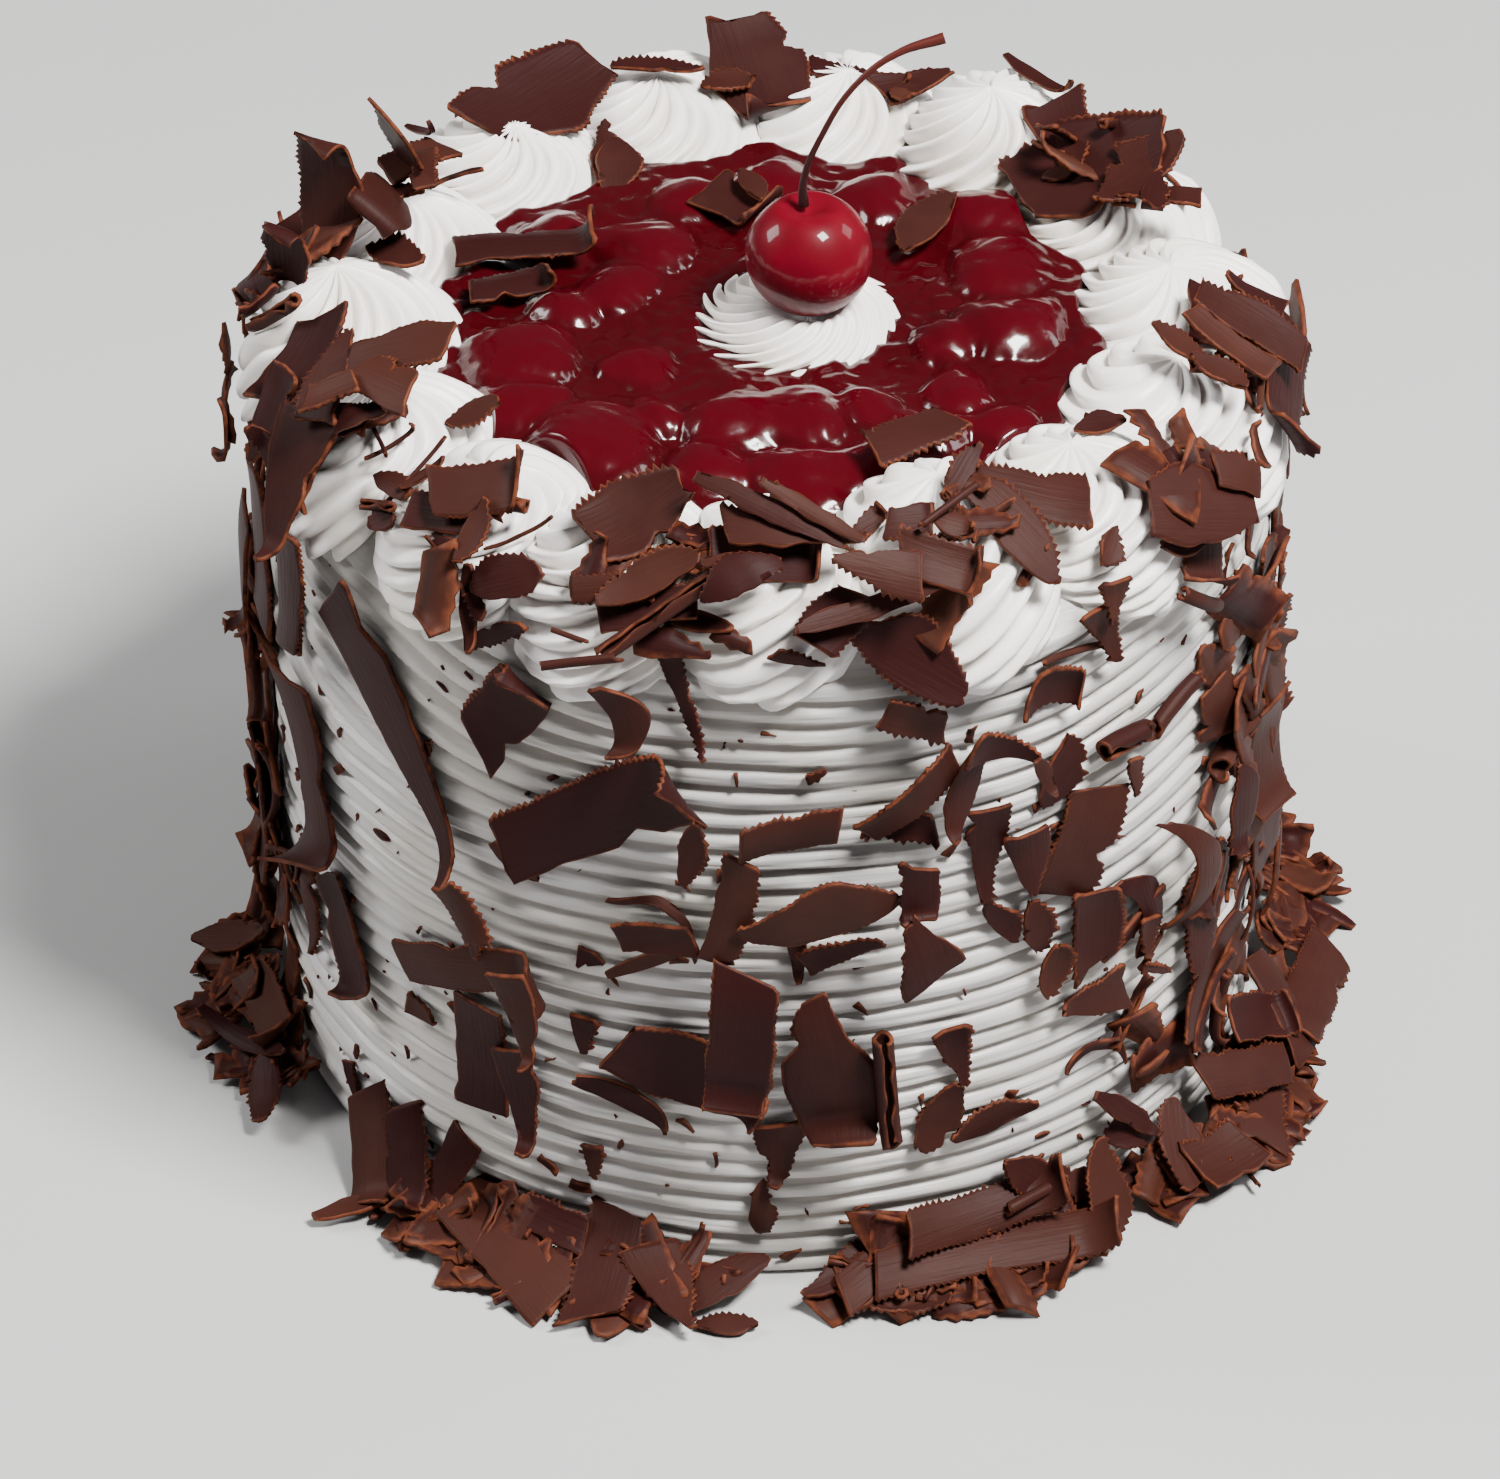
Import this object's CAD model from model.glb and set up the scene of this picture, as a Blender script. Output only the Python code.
"""Black forest cake: combed and piped cream, set cherry filling, a crowning cherry and shavings.

Metres, +Z up, origin at the centre of the base. Azimuths are in degrees, anticlockwise seen from
above, and -90 faces the camera. Each operator builds one piece in the place of its solids.
"""

import math
import random
from typing import NamedTuple

import bmesh
import bpy
from bpy.props import FloatProperty, FloatVectorProperty, IntProperty, PointerProperty
from mathutils import Matrix, Vector, noise
from mathutils.bvhtree import BVHTree


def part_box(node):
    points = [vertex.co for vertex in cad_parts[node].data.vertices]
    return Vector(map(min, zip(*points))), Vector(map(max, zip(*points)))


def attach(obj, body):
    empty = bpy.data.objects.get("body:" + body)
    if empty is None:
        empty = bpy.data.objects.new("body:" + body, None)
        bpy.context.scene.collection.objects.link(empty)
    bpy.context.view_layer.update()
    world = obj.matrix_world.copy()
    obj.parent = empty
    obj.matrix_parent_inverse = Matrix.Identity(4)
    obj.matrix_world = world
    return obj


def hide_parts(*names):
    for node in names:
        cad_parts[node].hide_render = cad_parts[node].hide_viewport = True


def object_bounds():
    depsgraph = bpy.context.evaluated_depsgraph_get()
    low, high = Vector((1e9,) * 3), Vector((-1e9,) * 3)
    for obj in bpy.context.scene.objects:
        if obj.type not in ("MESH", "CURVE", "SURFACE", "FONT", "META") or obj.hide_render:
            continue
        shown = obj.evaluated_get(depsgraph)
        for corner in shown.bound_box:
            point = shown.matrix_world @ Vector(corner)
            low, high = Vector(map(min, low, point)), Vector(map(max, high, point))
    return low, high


bl_info = {
    "name": "Black Forest Cake",
    "version": (1, 0, 0),
    "blender": (4, 5, 0),
    "location": "3D View > Sidebar > Cake",
    "description": "Builds a black forest cake with piped cream, cherries and chocolate shavings",
    "category": "Object",
}

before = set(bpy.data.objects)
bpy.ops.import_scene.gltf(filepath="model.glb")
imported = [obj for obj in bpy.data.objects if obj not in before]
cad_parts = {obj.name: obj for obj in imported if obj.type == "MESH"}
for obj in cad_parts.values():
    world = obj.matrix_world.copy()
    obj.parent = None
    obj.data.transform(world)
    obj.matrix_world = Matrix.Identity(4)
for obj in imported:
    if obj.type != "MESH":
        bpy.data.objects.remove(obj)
SOLIDS_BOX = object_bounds()
MM = 0.001

# Sizes that the solids have
CAKE_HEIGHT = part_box("iced_cake")[1].z
CAKE_RADIUS = 90 * MM
SHOULDER_RADIUS = 80 * MM
SHOULDER_DROP = 9 * MM

# The border's rosettes, and what is on top of the cake. Azimuths in degrees, heights in mm.
ROSETTE_AZIMUTHS = (-91, -67, -44, -20, 6, 31, 55, 79, 104, 130, 156, 181, 206, 229, 250)
ROSETTE_HEIGHTS = (13, 17, 13, 12, 11, 11, 17, 10.5, 10.5, 10.5, 12, 17, 15, 13, 13.5)
ROSETTE_RING_RADIUS = 73 * MM
FEWER_FLUTES_IN_FRONT = 5
CENTRE = Vector((5 * MM, 2 * MM, 0))
CHERRY_CENTRE = Vector((7 * MM, 0, 158 * MM))

# The stem's bends from the cherry's centre in mm, and how thick it is there
STEM_POINTS = (
    ((-1, 0, 10), 1.5),
    ((-1, 0, 15), 1.0),
    ((2, 0, 24), 0.85),
    ((8, 1, 34), 0.85),
    ((15, 2, 39.5), 1.0),
    ((23, 3, 42), 1.6),
)

# Cherries in the filling: x, y and radius in mm
SUNKEN_CHERRIES = (
    (-43, -12, 7.6),
    (-44, -27, 6.0),
    (-31, -38, 8.2),
    (-23, -15, 4.8),
    (-6, -31, 6.8),
    (5, -29, 6.2),
    (-10, -45, 6.4),
    (6, -47, 7.0),
    (18, -28, 4.4),
    (30, -7, 5.4),
    (42, -2, 8.0),
    (41, 17, 6.6),
    (38, 34, 7.4),
    (28, -34, 5.6),
    (40, -31, 5.0),
    (18, -44, 6.4),
    (-22, 24, 6.8),
    (-26, 11, 5.6),
    (1, 45, 6.0),
    (-14, 39, 5.2),
    (32, -21, 4.8),
    (-36, 5, 5.6),
    (-38, 27, 5.8),
    (20, 40, 5.8),
    (-19, -29, 4.6),
)


class Shaving(NamedTuple):
    """A curled shaving. Sizes are in mm and angles in degrees.

    face is 0 where it lies against the side and 90 where it lies flat on top. turn is in its own
    plane, lean tips it about its length, pitch lifts one end, and curl bends it over its length.
    tone runs from dark at 0 to pale at 1, and is drawn where it is -1.
    """

    azimuth: float
    height: float
    length: float
    width: float
    turn: float = 0
    form: str = "slab"
    curl: float = 25
    lean: float = 0
    pitch: float = 0
    face: float = 0
    reach: float = 92
    tone: float = -1


# Shavings on the side, from the left edge of the view to the right
SIDE_SHAVINGS = (
    Shaving(-176, 72, 34, 12, -80, "slab", 20, 4),
    Shaving(-153, 77, 38, 17, -70, "slab", 18, 3, tone=0.3),
    Shaving(-157, 110, 22, 6, -70, "splinter", 18, 3),
    Shaving(-162, 118, 32, 13, -86, "slab", 24, 4, tone=0.15),
    Shaving(-168, 104, 28, 10, -94, "blade", 24, 4, tone=0.2),
    Shaving(-171, 52, 30, 12, -84, "slab", 24, 4, tone=0.3),
    Shaving(-151, 119, 26, 10, -94, "slab", 18, 3, tone=0.1),
    Shaving(-156, 45, 24, 7, -78, "leaf"),
    Shaving(-146, 46, 24, 12, -66, "slab", 18, 3, tone=0.1),
    Shaving(-146, 12, 9, 4, -63, "blade"),
    Shaving(-134, 101, 56, 15, -56, "blade", 22, 5, tone=0.15),
    Shaving(-133, 41, 7, 5, -14, "blade"),
    Shaving(-125, 57, 37, 10, 20, "slab", 24, 4, tone=0.6),
    Shaving(-124, 66, 8, 4, -79, "blade", 20, 4, tone=0.6),
    Shaving(-124, 39, 24, 12, -89, "slab", 14, 4, tone=0.1),
    Shaving(-122, 78, 12, 7, -54, "slab", 40, 4, tone=0.6),
    Shaving(-120, 133, 13, 4, 40, "leaf", 30, 4, tone=0.2),
    Shaving(-119, 118, 22, 12, 56, "slab", 16, 2, tone=0.1),
    Shaving(-119, 85, 11, 5, -24, "leaf", 50, 8, tone=0.9),
    Shaving(-118, 34, 23, 10, -83, "blade", 18, 5, tone=0.05),
    Shaving(-116, 57, 21, 8, -76, "blade", 50, 6, tone=0.5),
    Shaving(-111, 51, 8, 5, -91, "blade"),
    Shaving(-110, 23, 7, 4, -88, "blade", 20, 4, tone=0.5),
    Shaving(-110, 68, 5, 4, -7, "blade"),
    Shaving(-108, 101, 43, 15, 32, "slab", 24, 3, tone=0.05),
    Shaving(-106, 124, 14, 7, -75, "hook", 50, 6, tone=0.4),
    Shaving(-106, 39, 19, 5, -21, "splinter", 20, 4, tone=0.1),
    Shaving(-103, 71, 18, 3, 31, "splinter", 20, 4),
    Shaving(-102, 80, 19, 2, -35, "hook", 10, 0, tone=0.4),
    Shaving(-102, 78, 14, 7, 5, "slab", 20, 6, tone=0.4),
    Shaving(-99, 128, 24, 4, -73, "blade", 30, 6, tone=0.1),
    Shaving(-98, 101, 14, 5, -97, "leaf", 20, 6, tone=0.3),
    Shaving(-98, 46, 31, 16, -26, "plate", 30, 6, tone=0.05),
    Shaving(-94, 87, 22, 7, -101, "slab", 14, 4, tone=0.6),
    Shaving(-93, 61, 29, 12, -94, "slab", 55, 6, tone=0.05),
    Shaving(-91, 17, 13, 5, -97, "leaf", 40, 6, tone=0.7),
    Shaving(-89, 30, 14, 9, -94, "blade", 40, 6, tone=0.3),
    Shaving(-88, 104, 17, 8, 14, "slab", 16, 8, tone=0.5),
    Shaving(-87, 75, 14, 3, -86, "splinter", 30, 6, tone=0.3),
    Shaving(-87, 138, 9, 3, -16, "blade", 20, 6, tone=0.3),
    Shaving(-85, 86, 29, 13, 11, "leaf", 44, 10, tone=0.7),
    Shaving(-85, 112, 4, 2, 26, "blade"),
    Shaving(-84, 51, 30, 15, -78, "plate", 40, 8, tone=0.3),
    Shaving(-82, 74, 14, 7, 14, "blade", 50, 14, tone=0.2),
    Shaving(-78, 48, 25, 7, -86, "roll", 10, 4, tone=0.4),
    Shaving(-76, 99, 13, 6, 173, "blade", 40, 8, tone=0.1),
    Shaving(-75, 91, 11, 7, -91, "slab", 16, 6, tone=0.1),
    Shaving(-75, 107, 21, 7, 40, "slab", 30, 14, tone=0.5),
    Shaving(-75, 80, 15, 12, 107, "blade", 20, 6, tone=0.2),
    Shaving(-75, 124, 12, 7, -25, "slab", 45, 8, tone=0.5),
    Shaving(-71, 34, 15, 8, -119, "leaf", 30, 6, tone=0.4),
    Shaving(-70, 107, 18, 7, -100, "leaf", 30, -8, tone=0.3),
    Shaving(-69, 47, 14, 6, -78, "blade", 30, 6, tone=0.2),
    Shaving(-66, 90, 20, 8, -93, "blade", 26, 6, tone=0.2),
    Shaving(-66, 116, 15, 7, -23, "blade", 70, 10, tone=0.1),
    Shaving(-64, 29, 17, 7, 7, "leaf", 30, 10, tone=0.4),
    Shaving(-64, 74, 12, 5, -63, "leaf", 40, 6),
    Shaving(-62, 110, 9, 3, -68, "splinter"),
    Shaving(-61, 86, 14, 9, -84, "blade", 20, 6, tone=0.2),
    Shaving(-60, 71, 12, 6, -82, "leaf", 30, 6),
    Shaving(-58, 61, 11, 6, -97, "leaf", 30, 6),
    Shaving(-58, 121, 12, 8, -10, "slab", 60, 8, tone=0.2),
    Shaving(-57, 102, 15, 8, -109, "leaf", 26, 4, tone=0.15),
    Shaving(-55, 126, 14, 4, -7, "roll", 20, 8, tone=0.7),
    Shaving(-54, 85, 22, 13, -114, "slab", 30, 8, tone=0.4),
    Shaving(-52, 129, 14, 6, -70, "blade", 40, 8),
    Shaving(-52, 137, 8, 5, -96, "blade", 40, 8),
    Shaving(-52, 66, 17, 10, -88, "slab", 20, 8, tone=0.2),
    Shaving(-51, 48, 16, 9, 172, "blade", 24, 8, tone=0.4),
    Shaving(-50, 34, 15, 4, -18, "hook", 30, 8, tone=0.4),
    Shaving(-48, 104, 13, 8, -4, "roll", 20, 10, tone=0.2),
    Shaving(-47, 95, 8, 4, -87, "blade"),
    Shaving(-45, 62, 20, 7, -72, "hook", 60, 8, tone=0.1),
    Shaving(-44, 57, 9, 4, -95, "blade", 40, 8),
    Shaving(-43, 49, 9, 2, -34, "blade"),
    Shaving(-41, 69, 27, 8, -87, "hook", 70, 10, tone=0.5),
    Shaving(-40, 104, 13, 9, 20, "roll", 20, 10, tone=0.4),
    Shaving(-39, 126, 14, 8, -40, "roll", 30, 10, tone=0.4),
    Shaving(-33, 53, 28, 13, -104, "leaf", 30, 10, tone=0.2),
    Shaving(-31, 94, 12, 10, -89, "slab", 30, 10, tone=0.6),
    Shaving(-30, 34, 26, 11, 40, "slab", 30, 10, tone=0.4),
    Shaving(-29, 71, 19, 9, -90, "leaf", 40, 10, tone=0.1),
    Shaving(-28, 84, 14, 9, 12, "roll", 20, 10, tone=0.8),
    Shaving(-27, 112, 16, 8, -88, "leaf", 30, 10, tone=0.3),
    Shaving(-22, 52, 18, 9, 40, "leaf", 40, 14, tone=0.6),
    Shaving(-20, 74, 26, 11, -84, "slab", 40, 14, tone=0.6),
    Shaving(-16, 104, 22, 9, -80, "blade", 14, 4, tone=0.2),
    Shaving(-12, 84, 26, 10, -94, "slab", 40, 14, tone=0.5),
    Shaving(-12, 44, 26, 13, -78, "slab", 40, 14, tone=0.3),
    Shaving(-6, 110, 20, 10, -86, "slab", 14, 4, tone=0.2),
    Shaving(20, 60, 34, 16, 55, "slab", 26, 5),
    Shaving(62, 92, 36, 17, -35, "blade", 26, 5),
    Shaving(100, 50, 32, 15, 20, "slab", 28, 5),
    Shaving(140, 88, 34, 16, 62, "slab", 24, 5),
)

# Shavings on and against the rosettes, clockwise from the back left. The lowest lie first.
RIM_SHAVINGS = (
    Shaving(-166, 152, 19, 14, -58, "slab", 24, face=52, reach=86, tone=0.0),
    Shaving(-160, 144, 17, 12, -74, "blade", 14, face=34, reach=90, tone=0.05),
    Shaving(123, 153, 29, 18, 13, "plate", 16, face=112, reach=76, tone=0.05),
    Shaving(119, 152, 17, 5, 59, "leaf", 30, face=100, reach=61, tone=0.3),
    Shaving(119, 147, 14, 9, 61, "leaf", 16, face=108, reach=57, tone=0.3),
    Shaving(91, 154, 24, 17, 107, "plate", 24, face=116, reach=72, tone=0.2),
    Shaving(96, 152, 10, 6, -177, "leaf", 20, face=95, reach=70),
    Shaving(106, 150, 17, 4, 159, "leaf", 24, face=90, reach=74, tone=0.1),
    Shaving(77, 154, 20, 5, 176, "blade", 20, face=100, reach=75, tone=0.1),
    Shaving(69, 153, 14, 8, -145, "blade", 24, face=108, reach=74, tone=0.2),
    Shaving(70, 149, 5, 4, 153, "leaf", face=95, reach=70),
    Shaving(52, 149, 18, 3, 170, "splinter", face=90, reach=80, tone=0.1),
    Shaving(33, 152, 29, 22, -121, "plate", 26, face=118, reach=69, tone=0.1),
    Shaving(25, 152, 21, 13, -75, "leaf", 40, face=106, reach=74, tone=0.3),
    Shaving(41, 153, 19, 12, 150, "blade", 34, face=110, reach=71, tone=0.15),
    Shaving(36, 156, 6, 4, -123, "leaf", face=112, reach=62, tone=0.6),
    Shaving(18, 151, 15, 5, 62, "blade", face=92, reach=73, tone=0.2),
    Shaving(17, 149, 14, 5, 149, "leaf", face=90, reach=71, tone=0.1),
    Shaving(-12, 142, 30, 12, -170, "slab", 30, face=30, reach=90, tone=0.1),
    Shaving(-7, 151, 16, 8, -176, "slab", 14, face=62, reach=77, tone=0.05),
    Shaving(-3, 151, 12, 8, 80, "blade", 30, face=60, reach=84, tone=0.1),
    Shaving(-14, 149, 26, 4, -170, "roll", 10, face=44, reach=87, tone=0.8),
    Shaving(-12, 152, 15, 3, -168, "roll", 10, face=60, reach=83, tone=0.8),
    Shaving(-19, 153, 12, 4, -58, "roll", 10, face=70, reach=83, tone=0.7),
    Shaving(-21, 152, 13, 5, -102, "leaf", 20, face=70, reach=74, tone=0.6),
    Shaving(-23, 152, 11, 6, -90, "leaf", 20, face=65, reach=82, tone=0.5),
    Shaving(-38, 151, 10, 5, -27, "leaf", 14, face=76, reach=71, tone=0.2),
    Shaving(-38, 149, 9, 5, -15, "slab", 10, face=60, reach=84, tone=0.1),
    Shaving(-37, 137, 17, 10, -120, "slab", 30, face=20, reach=94, tone=0.4),
    Shaving(-41, 140, 12, 8, -17, "leaf", 20, face=34, reach=93, tone=0.05),
    Shaving(-38, 143, 24, 14, -28, "plate", 16, face=44, reach=92, tone=0.4),
    Shaving(-32, 145, 11, 7, -43, "slab", 30, face=40, reach=93, tone=0.6),
    Shaving(-50, 146, 8, 4, -142, "leaf", 30, face=46, reach=91, tone=0.5),
    Shaving(-57, 152, 23, 11, 143, "blade", 30, face=64, reach=77, tone=0.4),
    Shaving(-62, 151, 24, 10, -66, "leaf", 16, face=52, reach=84, tone=0.5),
    Shaving(-65, 158, 12, 4, 40, "leaf", 20, face=50, reach=75, tone=0.3),
    Shaving(-73, 156, 8, 6, -6, "slab", 30, face=60, reach=80, tone=0.3),
    Shaving(-76, 137, 24, 13, -38, "leaf", 20, face=22, reach=95, tone=0.02),
    Shaving(-83, 144, 12, 9, 41, "slab", 24, face=34, reach=90, tone=0.1),
    Shaving(-80, 148, 26, 4, 11, "splinter", 16, face=44, reach=93, tone=0.5),
    Shaving(-72, 151, 15, 8, -28, "slab", 30, face=46, reach=89, tone=0.5),
    Shaving(-79, 151, 15, 9, 161, "blade", 24, face=46, reach=88, tone=0.6),
    Shaving(-70, 155, 7, 5, -30, "leaf", 30, face=56, reach=86, tone=0.6),
    Shaving(-70, 157, 13, 4, 24, "roll", 10, face=60, reach=84, tone=0.4),
    Shaving(-77, 154, 7, 4, 25, "leaf", 30, face=60, reach=76, tone=0.4),
    Shaving(-107, 156, 19, 14, 46, "plate", 44, face=60, reach=77, tone=0.3),
    Shaving(-90, 149, 20, 9, -4, "slab", 30, face=54, reach=80, tone=0.1),
    Shaving(-86, 156, 13, 5, -41, "blade", 20, face=60, reach=74, tone=0.3),
    Shaving(-87, 154, 24, 7, -8, "blade", 20, face=56, reach=80, tone=0.5),
    Shaving(-90, 157, 28, 4, -26, "splinter", 20, face=54, reach=78, tone=0.3),
    Shaving(-85, 158, 20, 3, -35, "splinter", 20, face=54, reach=80, tone=0.7),
    Shaving(-103, 146, 17, 6, 16, "slab", 24, face=40, reach=91, tone=0.2),
    Shaving(-107, 148, 14, 5, 12, "slab", 24, face=46, reach=90, tone=0.5),
    Shaving(-103, 151, 19, 7, 32, "leaf", 24, face=50, reach=90, tone=0.7),
    Shaving(-101, 147, 25, 5, 42, "roll", 14, face=44, reach=93, tone=0.5),
    Shaving(-94, 153, 11, 3, 1, "splinter", 20, face=56, reach=87, tone=0.6),
    Shaving(-93, 150, 16, 8, 33, "leaf", 70, face=48, reach=88, tone=0.1),
    Shaving(-108, 137, 13, 5, 17, "roll", 24, face=26, reach=94, tone=0.5),
    Shaving(-111, 139, 6, 3, -6, "roll", 10, face=30, reach=93),
    Shaving(-127, 145, 8, 5, -76, "slab", 16, face=34, reach=92, tone=0.1),
    Shaving(-129, 149, 14, 7, 15, "slab", 16, face=46, reach=86, tone=0.2),
    Shaving(-126, 152, 17, 10, 27, "slab", 20, face=56, reach=81, tone=0.5),
    Shaving(-123, 138, 15, 3, -74, "splinter", 20, face=24, reach=93),
    Shaving(-122, 139, 5, 3, -47, "leaf", face=28, reach=93),
    Shaving(-119, 144, 14, 9, 28, "leaf", 44, face=36, reach=90, tone=0.2),
    Shaving(-124, 150, 12, 5, -93, "leaf", 24, face=46, reach=88, tone=0.6),
    Shaving(-153, 142, 21, 10, 176, "blade", 20, face=30, reach=92, tone=0.1),
    Shaving(-148, 141, 29, 16, -76, "blade", 24, face=30, reach=90, tone=0.3),
    Shaving(-142, 149, 13, 5, 42, "blade", 30, face=56, reach=78, tone=0.2),
    Shaving(-139, 149, 10, 5, -1, "leaf", 30, face=56, reach=86, tone=0.4),
    Shaving(-151, 153, 19, 10, 127, "blade", 24, face=56, reach=80, tone=0.4),
    Shaving(-146, 154, 20, 9, 53, "slab", 20, face=62, reach=70, tone=0.6),
    Shaving(-143, 152, 10, 6, 65, "leaf", 20, face=70, reach=64, tone=0.5),
    Shaving(-142, 157, 13, 9, 9, "slab", 16, face=62, reach=78, tone=0.7),
    Shaving(-146, 154, 10, 5, 55, "slab", 20, face=56, reach=83, tone=0.8),
    Shaving(-136, 150, 9, 2, 69, "splinter", face=60, reach=81),
    Shaving(-137, 144, 5, 4, 46, "leaf", face=46, reach=90, tone=0.05),
    Shaving(-160, 156, 6, 3, 101, "leaf", face=86, reach=70, tone=0.1),
    Shaving(178, 146, 21, 8, 17, "slab", 20, face=46, reach=87, tone=0.1),
    Shaving(172, 152, 20, 11, 30, "slab", 20, face=66, reach=82, tone=0.2),
    Shaving(166, 155, 16, 9, 109, "blade", 24, face=76, reach=70, tone=0.3),
    Shaving(158, 156, 14, 9, 79, "blade", 24, face=80, reach=79, tone=0.1),
    Shaving(157, 157, 14, 8, 154, "slab", 24, face=90, reach=68, tone=0.6),
    Shaving(162, 154, 14, 4, 21, "slab", 24, face=80, reach=62, tone=0.6),
    Shaving(176, 156, 12, 8, 59, "leaf", 24, face=80, reach=66, tone=0.3),
    Shaving(172, 158, 25, 13, 98, "plate", 40, 64, reach=78, tone=0.35),
    Shaving(163, 158, 19, 12, 58, "plate", 24, 52, reach=68, tone=0.45),
    Shaving(171, 156, 16, 12, 14, "plate", 30, 50, reach=68, tone=0.3),
    Shaving(-178, 156, 18, 9, 70, "plate", 30, 55, reach=84, tone=0.05),
    Shaving(-10, 152, 22, 9, 84, "plate", 30, -18, face=62, reach=84, tone=0.3),
    Shaving(-16, 153, 18, 5, 76, "slab", 20, -14, face=66, reach=82, tone=0.7),
    Shaving(150, 150, 14, 2, 60, "splinter", face=60, reach=65, tone=0.1),
    Shaving(149, 149, 12, 2, 100, "splinter", face=60, reach=63, tone=0.1),
)

# Looser shavings between those: azimuths, reaches in mm, how many, and their share of full size
RIM_BANDS = (
    (-110, -93, 78, 92, 11, 0.8),
    (-80, -60, 74, 88, 11, 0.8),
    (-152, -137, 78, 90, 9, 0.8),
    (-127, -117, 82, 92, 6, 0.75),
    (-42, -22, 82, 93, 8, 0.8),
    (160, 186, 68, 88, 10, 0.8),
    (20, 42, 66, 82, 6, 0.8),
    (-18, 0, 80, 92, 8, 0.75),
)

# Shavings that lie in the cherry filling
POOL_SHAVINGS = (
    Shaving(156, 145, 26, 9, 120, "slab", 8, face=90, reach=47, tone=0.05),
    Shaving(170, 145, 15, 8, 116, "slab", 8, face=90, reach=46, tone=0.0),
    Shaving(99, 146, 13, 12, 134, "slab", 14, face=94, reach=36, tone=0.2),
    Shaving(95, 148, 10, 5, 109, "leaf", 14, face=94, reach=36, tone=0.4),
    Shaving(43, 147, 20, 9, -72, "leaf", 14, face=92, reach=39, tone=0.4),
    Shaving(-62, 146, 17, 9, 5, "slab", 14, face=84, reach=51, tone=0.4),
)

# The larger shavings that lie round the foot
FOOT_SHAVINGS = (
    Shaving(-178, 8, 18, 9, 60, "leaf", 24, face=60, reach=101),
    Shaving(-164, 10, 24, 8, 3, "slab", 24, face=50, reach=96),
    Shaving(-161, 8, 26, 4, 27, "splinter", 60, face=66, reach=101),
    Shaving(-154, 6, 15, 7, -27, "leaf", 24, face=60, reach=103),
    Shaving(-138, 9, 22, 10, -50, "slab", 20, face=40, reach=97, tone=0.6),
    Shaving(-135, 3, 17, 4, 66, "splinter", 14, face=85, reach=104),
    Shaving(-133, 10, 20, 9, -60, "slab", 24, face=40, reach=95, tone=0.05),
    Shaving(-128, 10, 18, 8, -100, "slab", 24, face=36, reach=94, tone=0.2),
    Shaving(-118, 6, 32, 14, -27, "slab", 20, face=72, reach=106, tone=0.7),
    Shaving(-114, 10, 14, 7, -6, "slab", 30, face=50, reach=95),
    Shaving(-107, 7, 22, 11, -88, "slab", 24, face=66, reach=101, tone=0.3),
    Shaving(-100, 6, 18, 11, -56, "blade", 24, face=70, reach=101, tone=0.5),
    Shaving(-94, 6, 17, 8, 43, "leaf", 24, face=66, reach=98, tone=0.4),
    Shaving(-94, 2, 11, 5, 6, "leaf", 20, face=80, reach=105),
    Shaving(-81, 6, 21, 7, 21, "leaf", 24, face=66, reach=96, tone=0.3),
    Shaving(-79, 7, 15, 8, 31, "slab", 24, face=60, reach=98, tone=0.6),
    Shaving(-66, 4, 17, 11, -17, "leaf", 24, face=78, reach=102, tone=0.4),
    Shaving(-66, 8, 46, 10, -6, "slab", 14, face=62, reach=100, tone=0.6),
    Shaving(-66, 13, 32, 9, 2, "slab", 24, face=50, reach=95, tone=0.4),
    Shaving(-61, 15, 11, 7, 6, "roll", 24, face=60, reach=97, tone=0.4),
    Shaving(-76, 3, 15, 7, -2, "leaf", 24, face=80, reach=103, tone=0.3),
    Shaving(-53, 11, 19, 9, -107, "leaf", 24, face=30, reach=99, tone=0.7),
    Shaving(-60, 15, 15, 8, -46, "leaf", 30, face=24, reach=94, tone=0.3),
    Shaving(-54, 10, 13, 6, -47, "leaf", 30, face=40, reach=95),
    Shaving(-47, 20, 17, 4, -50, "splinter", 20, face=20, reach=94),
    Shaving(-46, 15, 12, 8, -16, "leaf", 50, face=30, reach=94, tone=0.1),
    Shaving(-41, 9, 18, 10, -127, "leaf", 24, face=56, reach=98, tone=0.5),
    Shaving(-38, 6, 14, 11, -11, "slab", 24, face=70, reach=104, tone=0.5),
    Shaving(-29, 6, 17, 10, -148, "slab", 24, face=70, reach=105, tone=0.5),
    Shaving(-28, 12, 23, 9, -30, "slab", 24, face=50, reach=99, tone=0.4),
    Shaving(-21, 14, 19, 9, -35, "slab", 30, face=40, reach=96, tone=0.1),
    Shaving(-16, 12, 22, 9, -120, "slab", 24, face=46, reach=99, tone=0.4),
    Shaving(-10, 8, 28, 11, 172, "slab", 24, face=60, reach=103, tone=0.5),
)

# Heaps round the foot, anticlockwise from the left: middle azimuth, half width in degrees and
# outer radius in mm
FOOT_HEAPS = (
    (-168, 15, 112),
    (-116, 19, 109),
    (-68, 15, 108),
    (-30, 15, 112),
    (8, 15, 110),
    (66, 22, 108),
    (140, 22, 109),
)
HEAPED_PER_DEGREE = 2.6
HEAPS_INNER_RADIUS = 88.5 * MM
HEAPS_OUTER_RADIUS = 112 * MM

# Bands of the side that are thick with shavings: azimuths, heights in mm, how many, their size
# and how far they swing from upright
THICK_BANDS = (
    (-200, -172, 30, 112, 20, 1.6, 22),
    (-194, -166, 25, 150, 46, 0.9, 80),
    (-30, 6, 25, 108, 12, 1.5, 40),
    (-34, 8, 20, 132, 44, 1.0, 80),
    (-50, -30, 15, 80, 8, 1.0, 80),
    (8, 160, 20, 135, 60, 1.1, 90),
    (-194, -160, 10, 60, 14, 1.0, 90),
)
CHIP_COUNT = 480

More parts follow.
